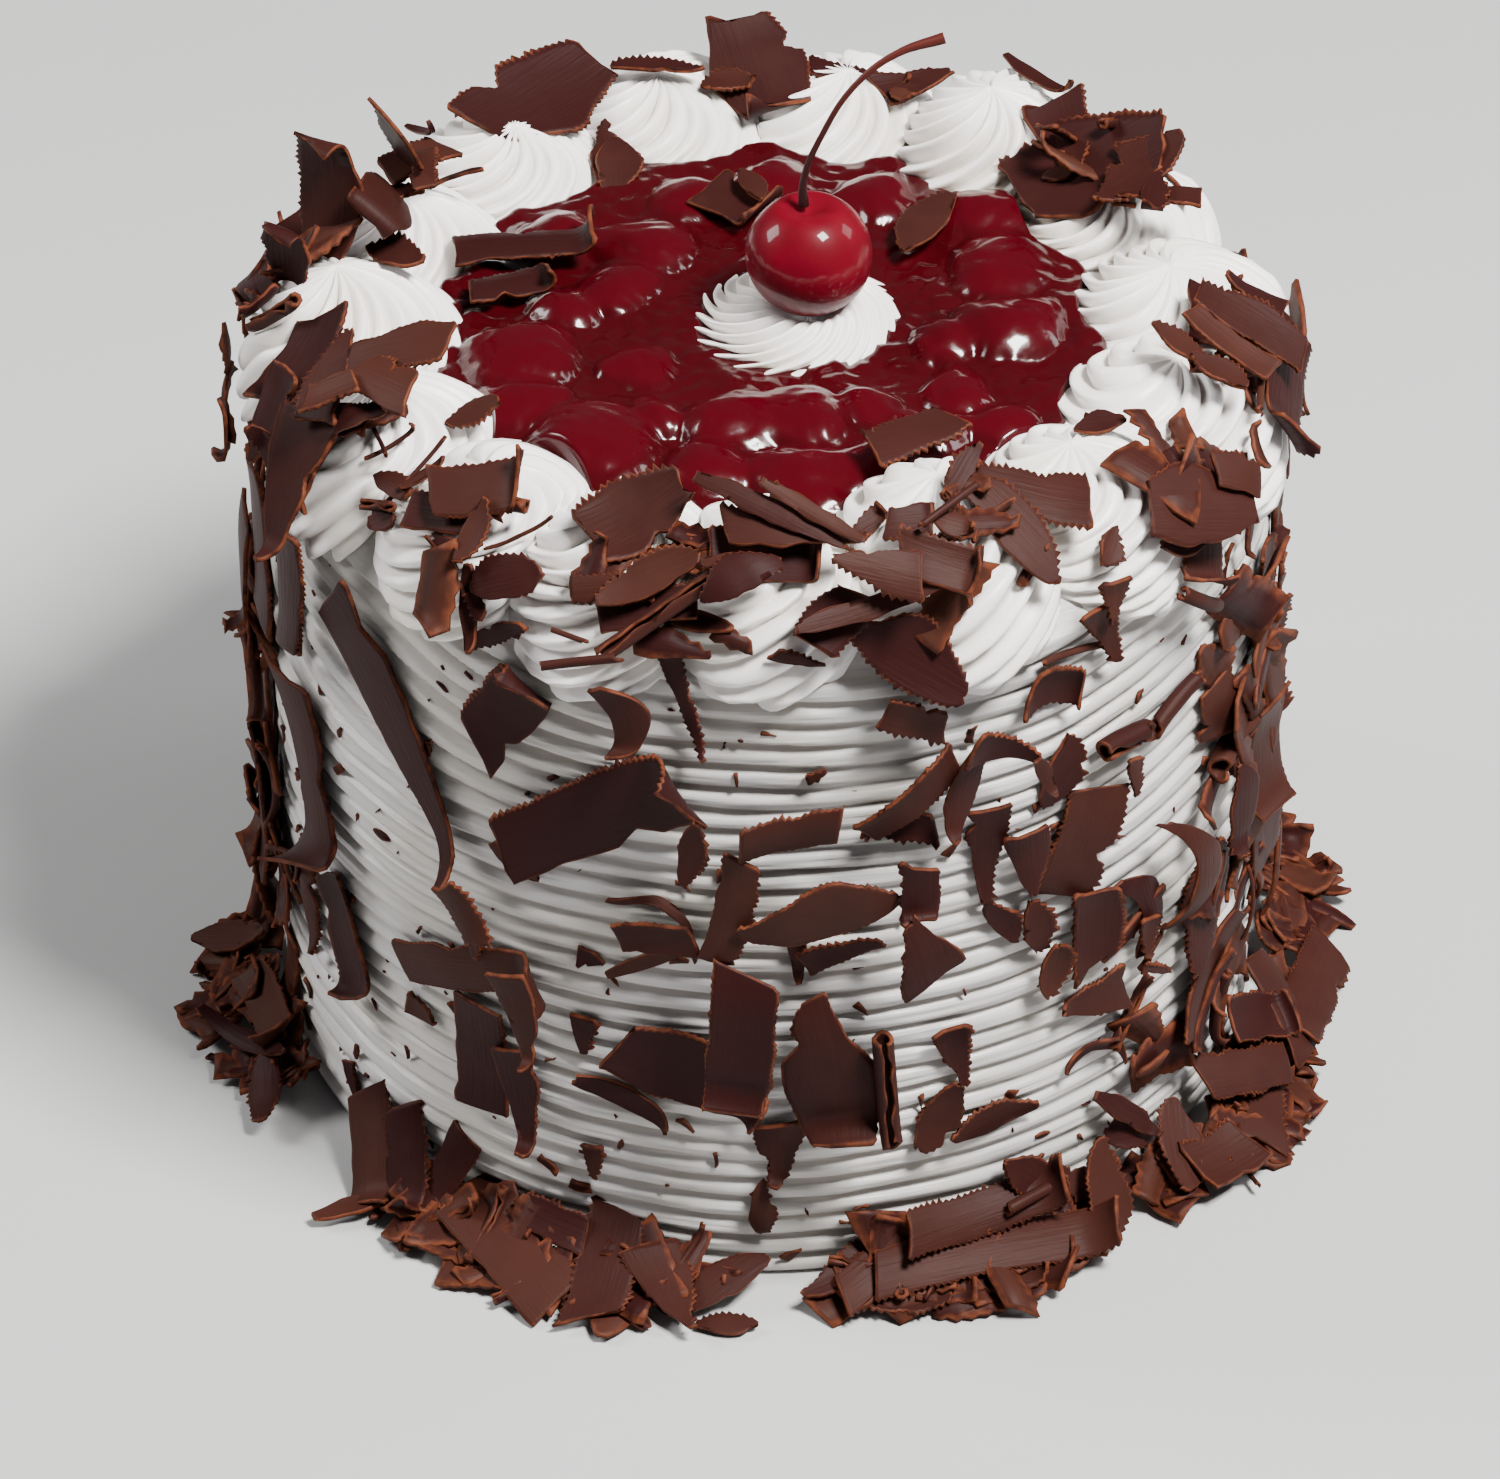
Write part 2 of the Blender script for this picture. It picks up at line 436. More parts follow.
# How finely a shaving is made
CHIP, STREWN, PLACED = 0, 1, 2

# Lights: size in metres, power in watts, place and colour
LIGHTS = {
    "key": (0.34, 64, (0.53, -0.44, 1.30), (1.0, 0.985, 0.96)),
    "left": (0.45, 15, (-1.05, 0.20, 0.85), (1.0, 0.99, 0.98)),
    "right": (0.4, 5, (1.1, 0.32, 0.75), (1.0, 1.0, 1.0)),
}
LIT_POINT = Vector((0, 0, 0.09))

# Seeds of the random draws
BORDER_SEED, SIDE_SEED, RIM_SEED, FOOT_SEED, CHIP_SEED = 31, 17, 23, 29, 41


# Settings


class CreamSettings(bpy.types.PropertyGroup):
    """Sizes and colours of the cream."""

    comb_pitch: FloatProperty(
        name="Comb pitch",
        description="Distance from one combed ridge to the next",
        default=4.5 * MM,
        unit="LENGTH",
    )
    comb_depth: FloatProperty(
        name="Comb depth",
        description="Depth of the grooves between the ridges",
        default=1.7 * MM,
        unit="LENGTH",
    )
    comb_sway: FloatProperty(
        name="Comb sway",
        description="How far a ridge wanders from level",
        default=1.6 * MM,
        unit="LENGTH",
    )
    rosette_radius: FloatProperty(
        name="Rosette radius",
        description="Radius of a rosette of the border",
        default=18.8 * MM,
        unit="LENGTH",
    )
    flutes: IntProperty(
        name="Flutes",
        description="How many flutes the piping nozzle leaves on a rosette",
        default=18,
    )
    flute_depth: FloatProperty(
        name="Flute depth",
        description="Height of a flute at the rosette's edge",
        default=2.9 * MM,
        unit="LENGTH",
    )
    colour: FloatVectorProperty(
        name="Cream",
        description="Colour of the whipped cream",
        default=(0.885, 0.853, 0.845),
        subtype="COLOR",
    )
    buttery: FloatVectorProperty(
        name="Buttery cream",
        description="Colour of the cream where it is thicker",
        default=(0.82, 0.775, 0.70),
        subtype="COLOR",
    )
    shaded: FloatVectorProperty(
        name="Cream in grooves",
        description="Colour of the cream deep in a groove",
        default=(0.52, 0.465, 0.42),
        subtype="COLOR",
    )


class CherrySettings(bpy.types.PropertyGroup):
    """Sizes and colours of the filling, the crowning cherry and its stem."""

    pool_radius: FloatProperty(
        name="Filling radius",
        description="How far the filling reaches into the bays of the border",
        default=60 * MM,
        unit="LENGTH",
    )
    pool_level: FloatProperty(
        name="Filling level",
        description="Height of the gel above the cake's top",
        default=4.0 * MM,
        unit="LENGTH",
    )
    cherry_radius: FloatProperty(
        name="Cherry radius",
        description="Radius of the crowning cherry",
        default=11.2 * MM,
        unit="LENGTH",
    )
    gel: FloatVectorProperty(
        name="Gel",
        description="Colour of the gel between the cherries",
        default=(0.033, 0.0010, 0.0024),
        subtype="COLOR",
    )
    fruit: FloatVectorProperty(
        name="Fruit",
        description="Colour of the cherries in the gel",
        default=(0.046, 0.0009, 0.0034),
        subtype="COLOR",
    )
    skin: FloatVectorProperty(
        name="Skin",
        description="Colour of the crowning cherry",
        default=(0.115, 0.0022, 0.0085),
        subtype="COLOR",
    )


class ChocolateSettings(bpy.types.PropertyGroup):
    """Sizes and colours of the shavings."""

    thickness: FloatProperty(
        name="Thickness",
        description="Thickness of a shaving",
        default=0.75 * MM,
        unit="LENGTH",
    )
    curling: FloatProperty(
        name="Curling",
        description="How much more each shaving curls than its own figure says",
        default=1.35,
    )
    tooth_pitch: FloatProperty(
        name="Tooth pitch",
        description="Distance between the teeth of a ragged edge",
        default=1.25 * MM,
        unit="LENGTH",
    )
    face: FloatVectorProperty(
        name="Face",
        description="Colour of a shaving's dark face",
        default=(0.0215, 0.0052, 0.0048),
        subtype="COLOR",
    )
    scraped: FloatVectorProperty(
        name="Scraped face",
        description="Colour of a shaving's paler, scraped face",
        default=(0.047, 0.0155, 0.0102),
        subtype="COLOR",
    )
    edge: FloatVectorProperty(
        name="Edge",
        description="Colour of a ragged edge",
        default=(0.115, 0.032, 0.015),
        subtype="COLOR",
    )


class StageSettings(bpy.types.PropertyGroup):
    """The camera and the floor."""

    elevation: FloatProperty(
        name="Elevation",
        description="How far the camera looks down",
        default=math.radians(37),
        subtype="ANGLE",
    )
    distance: FloatProperty(
        name="Distance",
        description="From the camera to the point that it looks at",
        default=1.299,
        unit="LENGTH",
    )
    lens: FloatProperty(
        name="Lens",
        description="Focal length in millimetres on a 36 mm sensor",
        default=169.9,
    )
    aim_side: FloatProperty(
        name="Aim, sideways",
        description="Where the camera looks, to the right of the cake's axis",
        default=-3.3 * MM,
        unit="LENGTH",
    )
    aim_height: FloatProperty(
        name="Aim, height",
        description="Height of the point that the camera looks at",
        default=51.8 * MM,
        unit="LENGTH",
    )
    floor: FloatVectorProperty(
        name="Floor",
        description="Colour of the floor",
        default=(0.47, 0.47, 0.47),
        subtype="COLOR",
    )


# Materials


def new_material(name):
    """A material and its Principled shader."""
    material = bpy.data.materials.new(name)
    material.use_nodes = True
    return material, material.node_tree, material.node_tree.nodes["Principled BSDF"]


def set_node(node, **values):
    """Sets inputs by their labels, with spaces as underscores, and properties by their names."""
    for name, value in values.items():
        label = name.replace("_", " ")
        if label in node.inputs:
            node.inputs[label].default_value = value
        else:
            setattr(node, name, value)
    return node


def add_node(tree, kind, **values):
    """A node whose named inputs and properties are set."""
    return set_node(tree.nodes.new(kind), **values)


def attribute(tree, name, output="Fac"):
    """A value that the mesh holds for each of its points."""
    return add_node(tree, "ShaderNodeAttribute", attribute_name=name).outputs[output]


def combined(tree, operation, first, second, third=None):
    """The result of a sum on sockets and numbers."""
    node = add_node(tree, "ShaderNodeMath", operation=operation)
    for socket, value in zip(node.inputs, (first, second, third)):
        if isinstance(value, bpy.types.NodeSocket):
            tree.links.new(value, socket)
        elif value is not None:
            socket.default_value = value
    return node.outputs[0]


def noise_texture(tree, coordinates, scale, detail=3.0, roughness=0.5, stretch=(1, 1, 1)):
    """The Fac of a noise whose coordinates are stretched."""
    mapping = add_node(tree, "ShaderNodeMapping", Scale=stretch)
    texture = add_node(tree, "ShaderNodeTexNoise", Scale=scale, Detail=detail, Roughness=roughness)
    tree.links.new(coordinates, mapping.inputs["Vector"])
    tree.links.new(mapping.outputs["Vector"], texture.inputs["Vector"])
    return texture.outputs["Fac"]


def ramp(tree, value, low, high):
    """The value, spread from low..high to 0..1 and held there."""
    spread = add_node(tree, "ShaderNodeMapRange", From_Min=low, From_Max=high)
    tree.links.new(value, spread.inputs["Value"])
    return spread.outputs["Result"]


def mixed_colour(tree, share, first, second):
    """A blend of two colours, each a colour value or a socket."""
    mix = add_node(tree, "ShaderNodeMix", data_type="RGBA")
    tree.links.new(share, mix.inputs[0])
    for socket, colour in ((mix.inputs[6], first), (mix.inputs[7], second)):
        if isinstance(colour, bpy.types.NodeSocket):
            tree.links.new(colour, socket)
        else:
            socket.default_value = (*colour, 1)
    return mix.outputs[2]


def dulled(colour, share):
    """The colour, darkened to this share."""
    return tuple(share * part for part in colour)


def bumped(tree, shader, height, strength, distance):
    """A bump on the shader, after any that it has."""
    bump = add_node(tree, "ShaderNodeBump", Strength=strength, Distance=distance)
    tree.links.new(height, bump.inputs["Height"])
    before = shader.inputs["Normal"].links
    if before:
        tree.links.new(before[0].from_socket, bump.inputs["Normal"])
    tree.links.new(bump.outputs["Normal"], shader.inputs["Normal"])


def cream_material(settings, name, streaks=None, dull=1.0):
    """Whipped cream: soft, finely pitted and duller in its grooves, with streaks where combed."""
    material, tree, shader = new_material(name)
    place = add_node(tree, "ShaderNodeTexCoord").outputs["Object"]
    patches = ramp(tree, noise_texture(tree, place, 45, 4), 0.42, 0.72)
    groove = attribute(tree, "groove")
    pale = dulled(settings.colour, dull)
    cream = mixed_colour(tree, patches, pale, dulled(settings.buttery, dull))
    cream = mixed_colour(tree, ramp(tree, groove, 0.25, 1.15), cream, settings.shaded)
    tree.links.new(cream, shader.inputs["Base Color"])
    set_node(
        shader,
        Roughness=0.38,
        Specular_IOR_Level=0.5,
        Subsurface_Weight=0.07,
        Subsurface_Radius=(1.0, 0.8, 0.6),
        Subsurface_Scale=0.0022,
    )
    bumped(tree, shader, noise_texture(tree, place, 900, 2), 0.10, 0.3 * MM)
    bumped(tree, shader, noise_texture(tree, place, 220, 3), 0.22, 0.6 * MM)
    if streaks:
        wrapped = attribute(tree, streaks, "Vector")
        lines = noise_texture(tree, wrapped, 1.0, 4, 0.6, (14, 900, 1))
        bumped(tree, shader, lines, 0.35, 0.7 * MM)
    return material


def chocolate_material(settings, name):
    """Dark chocolate: scraped along its length, paler at the ragged edges."""
    material, tree, shader = new_material(name)
    place = add_node(tree, "ShaderNodeTexCoord").outputs["Object"]
    tone = attribute(tree, "tone")
    rim = attribute(tree, "rim")
    grain = attribute(tree, "grain", "Vector")
    lines = noise_texture(tree, grain, 1.0, 3, 0.6, (90, 1500, 1))
    mottle = noise_texture(tree, place, 130, 4)
    share = ramp(tree, combined(tree, "MULTIPLY_ADD", mottle, 0.5, tone), 0.35, 1.3)
    face = mixed_colour(tree, share, settings.face, settings.scraped)
    wear = ramp(tree, noise_texture(tree, place, 400, 3), 0.3, 0.6)
    worn = combined(tree, "MULTIPLY", ramp(tree, rim, 0.55, 1.0), wear)
    tree.links.new(mixed_colour(tree, worn, face, settings.edge), shader.inputs["Base Color"])
    set_node(shader, Roughness=0.5, Specular_IOR_Level=0.07)
    bumped(tree, shader, lines, 0.4, 0.3 * MM)
    bumped(tree, shader, mottle, 0.35, 0.5 * MM)
    return material


def filling_material(settings, name):
    """Set gel over cherries: the fruit shows brighter through a wet coat."""
    material, tree, shader = new_material(name)
    place = add_node(tree, "ShaderNodeTexCoord").outputs["Object"]
    fruit = attribute(tree, "fruit")
    cloud = noise_texture(tree, place, 70, 4)
    share = ramp(tree, combined(tree, "MULTIPLY_ADD", cloud, 0.55, fruit), 0.25, 0.95)
    tree.links.new(mixed_colour(tree, share, settings.gel, settings.fruit), shader.inputs["Base Color"])
    set_node(
        shader,
        Roughness=0.22,
        Specular_IOR_Level=0.12,
        Coat_Weight=0.45,
        Coat_Roughness=0.09,
    )
    bumped(tree, shader, noise_texture(tree, place, 120, 3), 0.35, 1.2 * MM)
    return material


def cherry_material(settings, name):
    """A candied cherry: deep red under a clear glossy skin, with small dimples."""
    material, tree, shader = new_material(name)
    place = add_node(tree, "ShaderNodeTexCoord").outputs["Object"]
    patches = ramp(tree, noise_texture(tree, place, 90, 3), 0.35, 0.75)
    skin = mixed_colour(tree, patches, settings.skin, dulled(settings.skin, 0.7))
    tree.links.new(skin, shader.inputs["Base Color"])
    set_node(
        shader,
        Roughness=0.42,
        Specular_IOR_Level=0.06,
        Coat_Weight=0.26,
        Coat_Roughness=0.07,
        Subsurface_Weight=0.15,
        Subsurface_Radius=(1.0, 0.15, 0.1),
        Subsurface_Scale=0.002,
    )
    bumped(tree, shader, noise_texture(tree, place, 160, 2), 0.12, 0.8 * MM)
    return material


def stem_material(name):
    """The stem: nearly black where it leaves the cherry, red-brown towards its knob."""
    material, tree, shader = new_material(name)
    place = add_node(tree, "ShaderNodeTexCoord").outputs["Object"]
    height = add_node(tree, "ShaderNodeSeparateXYZ")
    tree.links.new(place, height.inputs[0])
    share = ramp(tree, height.outputs["Z"], 168 * MM, 198 * MM)
    stalk = mixed_colour(tree, share, (0.014, 0.0018, 0.0024), (0.062, 0.009, 0.006))
    tree.links.new(stalk, shader.inputs["Base Color"])
    set_node(shader, Roughness=0.45, Specular_IOR_Level=0.25)
    bumped(tree, shader, noise_texture(tree, place, 700, 2, stretch=(1, 1, 0.2)), 0.3, 0.2 * MM)
    return material


def floor_material(settings, name):
    """A matt pale floor with a trace of unevenness."""
    material, tree, shader = new_material(name)
    place = add_node(tree, "ShaderNodeTexCoord").outputs["Object"]
    patches = ramp(tree, noise_texture(tree, place, 3, 3), 0.3, 0.7)
    paint = mixed_colour(tree, patches, settings.floor, dulled(settings.floor, 0.97))
    tree.links.new(paint, shader.inputs["Base Color"])
    set_node(shader, Roughness=0.8)
    return material


# Shapes


def polar(azimuth, radius, height=0.0):
    """The place at this azimuth and distance from the cake's axis."""
    angle = math.radians(azimuth)
    return Vector((radius * math.cos(angle), radius * math.sin(angle), height))


def noise_at(x, y=0.0, z=0.0):
    """Smooth noise, about -1 to 1, at a place in noise space."""
    return noise.noise(Vector((x, y, z)))


def smooth_step(value, low=0.0, high=1.0):
    """0 up to low, 1 from high on, and a smooth rise between."""
    value = min(1.0, max(0.0, (value - low) / (high - low)))
    return value * value * (3 - 2 * value)


def between(share, low, high):
    """The value at this share of the way from low to high."""
    return low + (high - low) * share


def cake_top(radius):
    """Height of the cream under the border and the filling, at this distance from the axis."""
    outward = (radius - SHOULDER_RADIUS) / (CAKE_RADIUS - SHOULDER_RADIUS)
    return CAKE_HEIGHT - SHOULDER_DROP * min(1.4, max(0.0, outward))


def close_openings(bm):
    """Merges the seam and fills each open ring."""
    bmesh.ops.remove_doubles(bm, verts=bm.verts, dist=0.02 * MM)
    rims = [edge for edge in bm.edges if edge.is_boundary]
    bmesh.ops.holes_fill(bm, edges=rims)
    bmesh.ops.recalc_face_normals(bm, faces=bm.faces)


def add_to(whole, part):
    """Puts a copy of the part into the whole, and frees the part."""
    mesh = bpy.data.meshes.new("part")
    part.to_mesh(mesh)
    part.free()
    whole.from_mesh(mesh)
    bpy.data.meshes.remove(mesh)


def finish_piece(name, bm, material, slot, *solids):
    """The bmesh as a smooth piece on the cake's body, in the place of its solids."""
    mesh = bpy.data.meshes.new(name)
    bm.to_mesh(mesh)
    bm.free()
    mesh.materials.append(material)
    mesh.shade_smooth()
    piece = bpy.data.objects.new(name, mesh)
    bpy.context.scene.collection.objects.link(piece)
    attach(piece, "root")
    if solids:
        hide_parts(*solids)
    return piece


def nodes_named(start):
    """The solids whose names start so."""
    return [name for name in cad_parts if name.startswith(start)]


def surface_tree(*names):
    """A search tree over the faces of the named pieces."""
    places, faces = [], []
    for name in names:
        mesh = bpy.data.objects[name].data
        first = len(places)
        places += [vertex.co.copy() for vertex in mesh.vertices]
        faces += [[first + index for index in face.vertices] for face in mesh.polygons]
    return BVHTree.FromPolygons(places, faces)


# Combed cream


def comb_phase(azimuth, height, settings):
    """Where a point of the side lies in the row of ridges. Whole numbers are grooves."""
    way = polar(azimuth, 1)
    wander = settings.comb_sway * noise_at(way.x * 1.3, way.y * 1.3, height / (60 * MM))
    wander += 0.45 * settings.comb_sway * noise_at(way.x * 5, way.y * 5, height / (11 * MM) + 7)
    from_left = (azimuth + 360) % 360  # 190 is the left edge of the view
    sweep = smooth_step(from_left, 150, 190) * (1 - smooth_step(from_left, 192, 258))
    wander += 17 * MM * sweep * smooth_step(height, 72 * MM, 130 * MM)
    from_right = abs((azimuth + 195) % 360 - 180)  # 0 near the right edge of the view
    wander += 10 * MM * (1 - smooth_step(from_right, 0, 50)) * smooth_step(height, 40 * MM, 120 * MM)
    return (height - wander) / settings.comb_pitch


def comb_relief(azimuth, height, settings):
    """How far the side stands back from its crests at this place, and how deep in a groove that is."""
    phase = comb_phase(azimuth, height, settings)
    way = polar(azimuth, 1)
    ridge = math.floor(phase)
    off_crest = abs(2 * (phase - ridge) - 1)
    along = noise_at(way.x * 4, way.y * 4, ridge * 1.7)
    groove = smooth_step(off_crest, 0.40 + 0.32 * along, 1.0)
    crown = 0.22 * off_crest**2
    lines = noise_at(way.x * 3, way.y * 3, phase * 5.2)
    lines += 0.6 * noise_at(way.x * 9, way.y * 9, phase * 11)
    broad = 0.7 * MM * noise_at(way.x * 4, way.y * 4, height / (30 * MM))
    smear = noise_at(way.x * 2.2, way.y * 2.2, height / (26 * MM) + 3)
    groove *= between(smooth_step(smear, -0.35, 0.5), 1.0, 0.4)
    relief = settings.comb_depth * (groove + crown + 0.2 * lines)
    return relief - broad + 0.4 * MM, groove


def combed_cream(settings):
    """The cake's side, sloping rim and flat top as one closed skin."""
    around, side_rows, top_rows = 320, 280, 12
    rows = side_rows + top_rows
    side_height = CAKE_HEIGHT - SHOULDER_DROP
    bm = bmesh.new()
    wrapped = bm.verts.layers.float_vector.new("wrapped")
    grooved = bm.verts.layers.float.new("groove")
    bmesh.ops.create_grid(bm, x_segments=around, y_segments=rows, size=0.5)
    for vertex in bm.verts:
        azimuth = (vertex.co.x + 0.5) * 360
        row = round((vertex.co.y + 0.5) * rows)
        if row <= side_rows:
            height = side_height * row / side_rows
            relief, vertex[grooved] = comb_relief(azimuth, height, settings)
            radius = CAKE_RADIUS - relief
            if row == 0:
                radius -= 0.4 * MM
        else:
            inward = (row - side_rows) / top_rows
            radius = between(inward, CAKE_RADIUS, 50 * MM)
            relief, _ = comb_relief(azimuth, side_height, settings)
            radius -= relief * (1 - smooth_step(inward, 0.0, 0.2))
            height = cake_top(radius) - 0.3 * MM
        vertex[wrapped] = (math.radians(azimuth % 360) * 0.1, height, 0.0)
        vertex.co = polar(azimuth, radius, height)
    close_openings(bm)
    return bm


# Piped rosettes


class Rosette(NamedTuple):
    """A piped rosette: a dome whose flutes turn as they climb to its peak."""

    radius: float
    height: float
    flutes: int
    depth: float
    twist: float
    start: float
    smooth_side: float
    lean: Vector
    peak: float
    wind: float = 1.6


def flute_wave(angle):
    """A wave from -1 to 1 with broad crests and narrow grooves."""
    off_crest = 1 - abs((angle / math.pi) % 2 - 1)
    return 1 - 2 * off_crest**1.7


def rosette_bmesh(rosette, ground, rings=34, dish=0.0):
    """The dome over its ground, whose height is a function of the place from the dome's axis."""
    around = rosette.flutes * 9
    bm = bmesh.new()
    grooved = bm.verts.layers.float.new("groove")
    bmesh.ops.create_grid(bm, x_segments=around, y_segments=rings, size=0.5)
    for vertex in bm.verts:
        turn = (vertex.co.x + 0.5) * math.tau
        climb = vertex.co.y + 0.5
        steep = climb * math.pi / 2
        out = math.cos(steep) ** 0.86
        dome = (1 - out**2.3) ** 0.62
        rise = (1 - rosette.peak) * dome + rosette.peak * (1 - out) ** 1.3
        bulge = 1 + 0.05 * math.sin(math.pi * min(1.0, climb * 2.6))
        sweep = rosette.twist * (1 - (1 - climb) ** rosette.wind)
        twisted = turn + sweep + rosette.start
        way = Vector((math.cos(twisted), math.sin(twisted), 0))
        fade = 1 - 0.7 * max(0.0, math.cos(twisted - rosette.smooth_side)) ** 3
        uneven = noise_at(math.cos(turn) * 3.1, math.sin(turn) * 3.1, rosette.start * 9 + climb)
        wave = flute_wave(rosette.flutes * turn + 1.6 * uneven)
        swell = fade * (1 + 0.5 * uneven) * min(1.0, 1.9 * out) ** 0.9
        crest = rosette.depth / 2 * wave * swell
        vertex[grooved] = max(0.0, 0.45 - 0.55 * wave) * min(1.0, swell)
        shape = 1 + 0.06 * noise_at(way.x * 1.4, way.y * 1.4, rosette.start * 7)
        reach = rosette.radius * out * bulge * shape + crest * math.cos(steep)
        lift = rosette.height * rise + crest * math.sin(steep)
        if dish:
            lift -= dish * (1 - smooth_step(out, 0.05, 0.5))
        place = way * max(0.0, reach) + rosette.lean * smooth_step(climb, 0.2, 1.0)
        floor = min(1.0, climb * 3)
        place.z = between(floor, ground(place), CAKE_HEIGHT) + lift
        vertex.co = place
    close_openings(bm)
    return bm


def kept_between(point, low_azimuth, high_azimuth, gap=0.1 * MM):
    """The point, moved sideways to stay between two planes through the cake's axis."""
    for azimuth, side in ((low_azimuth, -1), (high_azimuth, 1)):
        across = polar(azimuth + 90, 1) * side
        beyond = point.dot(across) + gap
        if beyond > 0:
            point = point - across * beyond * 0.85
    return point


def border_bmesh(settings):
    """The whole ring of rosettes, each a little different from the next."""
    draw = random.Random(BORDER_SEED)
    count = len(ROSETTE_AZIMUTHS)
    ring = bmesh.new()
    for index, azimuth in enumerate(ROSETTE_AZIMUTHS):
        before = ROSETTE_AZIMUTHS[index - 1] - (360 if index == 0 else 0)
        after = ROSETTE_AZIMUTHS[(index + 1) % count] + (360 if index == count - 1 else 0)
        inward = math.radians(azimuth + 180)
        at_front = azimuth < -10 or azimuth > 225
        rosette = Rosette(
            radius=settings.rosette_radius * draw.uniform(0.97, 1.04),
            height=ROSETTE_HEIGHTS[index] * MM,
            flutes=settings.flutes + draw.randint(-2, 1) - (FEWER_FLUTES_IN_FRONT if at_front else 0),
            depth=settings.flute_depth * draw.uniform(0.85, 1.15),
            twist=math.radians(draw.uniform(180, 205) if at_front else draw.uniform(75, 105)),
            wind=2.3 if at_front else 1.6,
            start=draw.uniform(0, math.tau),
            smooth_side=inward + math.radians(draw.uniform(60, 130)),
            lean=Vector((draw.uniform(-3, 3), draw.uniform(-3, 3), 0)) * MM,
            peak=draw.uniform(0.2, 0.45),
        )
        centre = polar(azimuth, ROSETTE_RING_RADIUS)

        def ground(place):
            return cake_top((place + centre).xy.length) - 0.8 * MM

        bm = rosette_bmesh(rosette, ground, rings=32)
        for vertex in bm.verts:
            height = vertex.co.z
            point = kept_between(vertex.co + centre, (before + azimuth) / 2, (azimuth + after) / 2)
            vertex.co = Vector((point.x, point.y, height))
        add_to(ring, bm)
    return ring


def centre_rosette_bmesh(settings):
    """The rosette that carries the cherry, dished in the middle."""
    rosette = Rosette(
        radius=19.2 * MM,
        height=14.0 * MM,
        flutes=23,
        depth=settings.flute_depth * 0.9,
        twist=math.radians(150),
        start=math.radians(20),
        smooth_side=math.radians(-60),
        lean=Vector((2.0 * MM, -2.0 * MM, 0)),
        peak=0.5,
    )
    bm = rosette_bmesh(rosette, lambda place: CAKE_HEIGHT, rings=44, dish=7 * MM)
    for vertex in bm.verts:
        vertex.co += CENTRE
    return bm


# Cherry filling


def pool_edge(azimuth, settings):
    """Radius of the filling at this azimuth: it fills the bays between the rosettes."""
    edge = settings.pool_radius
    room = 17.6 * MM
    for rosette in ROSETTE_AZIMUTHS:
        away = math.radians(azimuth - rosette)
        sideways = ROSETTE_RING_RADIUS * math.sin(away)
        if math.cos(away) > 0 and abs(sideways) < room:
            near = ROSETTE_RING_RADIUS * math.cos(away) - math.sqrt(room**2 - sideways**2)
            edge = min(edge, near)
    return edge


def pool_surface(place):
    """Height of the filling above its level, and how near the surface a cherry is, from 0 to 1."""
    warp = Vector((noise.noise(place * 60), noise.noise(place * 60 + Vector((9, 0, 0))), 0)) * 4 * MM
    moved = place + warp
    lift, fruit = 0.0, 0.0
    for x, y, size in SUNKEN_CHERRIES:
        away = math.hypot(moved.x / MM - x, moved.y / MM - y)
        reach = size * 1.45
        if away < reach:
            share = 1 - (away / reach) ** 2
            lump = 0.6 * size * share**0.85
            lift = math.log(math.exp(lift * 1.3) + math.exp(lump * 1.3) - 1) / 1.3
            fruit = max(fruit, smooth_step(share, 0.05, 0.7))
    folds = noise.noise(place * 95) * 1.1 + abs(noise.noise(place * 190 + Vector((5, 1, 0)))) * 1.1
    folds += 0.3 * noise.noise(place * 420)
    return (lift + folds * (1 - 0.6 * fruit)) * MM, fruit


def filling_bmesh(settings):
    """The pool of gel, closed below, with the cherries as smooth lumps."""
    around, rings = 360, 120
    bm = bmesh.new()
    fruit = bm.verts.layers.float.new("fruit")
    bmesh.ops.create_grid(bm, x_segments=around, y_segments=rings, size=0.5)
    edges = [pool_edge(step * 360 / around, settings) for step in range(around + 1)]
    for vertex in bm.verts:
        step = round((vertex.co.x + 0.5) * around)
        out = vertex.co.y + 0.5
        azimuth = step * 360 / around
        place = polar(azimuth, edges[step] * min(1.0, out * 1.02))
        lift, near = pool_surface(place)
        at_edge = smooth_step(out, 0.965, 1.0)
        place.z = CAKE_HEIGHT + settings.pool_level + lift
        place.z = between(at_edge, place.z, CAKE_HEIGHT + 0.35 * MM)
        vertex[fruit] = near
        vertex.co = place
    close_openings(bm)
    return bm


# Crowning cherry and stem


def cherry_bmesh(settings):
    """A cherry, a little wider than high, with the dimple that holds the stem."""
    bm = bmesh.new()
    bmesh.ops.create_uvsphere(bm, u_segments=64, v_segments=40, radius=settings.cherry_radius)
    for vertex in bm.verts:
        away = vertex.co.xy.length / settings.cherry_radius
        uneven = 1 + 0.02 * noise.noise(vertex.co * 120)
        vertex.co.xy *= uneven
        vertex.co.z *= 0.97
        if vertex.co.z > 0:
            vertex.co.z -= 2.4 * MM * (1 - smooth_step(away, 0.0, 0.55))
        vertex.co += CHERRY_CENTRE
    return bm


